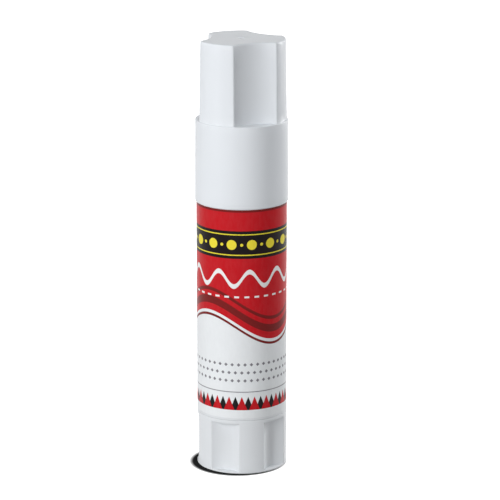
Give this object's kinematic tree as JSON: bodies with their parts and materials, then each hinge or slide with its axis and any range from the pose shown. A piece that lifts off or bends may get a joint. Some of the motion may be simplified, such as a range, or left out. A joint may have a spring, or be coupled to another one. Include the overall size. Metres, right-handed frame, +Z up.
{
  "type": "glue stick",
  "caption": "Twist-up glue stick: a lobed pull-off cap over a tube with a printed wrap, and a fluted knob that winds the stick of glue up and down.",
  "frame": {"origin": "centre of the base, on the surface that the stick stands on", "axes": "+Z up the stick's long axis, -Y towards the side that the picture shows, +X to that side's right"},
  "size_m": [0.0214, 0.0214, 0.1],
  "materials": {
    "cap_plastic": "glossy silver-white moulding",
    "barrel_plastic": "glossy silver-white moulding",
    "printed_wrap": "glossy printed wrap, red above and silver-white below",
    "inner_plastic": "natural white moulding",
    "adhesive": "waxy off-white adhesive"
  },
  "bodies": {
    "barrel": {"barrel": "barrel_plastic", "label": "printed_wrap"},
    "knob": {"turn_knob": "barrel_plastic", "spindle": "inner_plastic"},
    "carrier": {"carrier": "inner_plastic", "glue": "adhesive"},
    "cap": {"cap": "cap_plastic"}
  },
  "joints": [
    {"name": "knob_turn", "type": "hinge", "parent": "barrel", "child": "knob", "pos_m": [0, 0, 0], "axis": [0, 0, 1], "range_deg": [0, 4950]},
    {"name": "carrier_slide", "type": "slide", "parent": "barrel", "child": "carrier", "axis": [0, 0, 1], "range_m": [0, 0.055]},
    {"name": "cap_pull", "type": "slide", "parent": "carrier", "child": "cap", "axis": [0, 0, 1], "range_m": [0, 0.045]}
  ],
  "couplings": [
    {"joint": "carrier_slide", "follows": "knob_turn", "m_per_rad": 0.00063662}
  ]
}
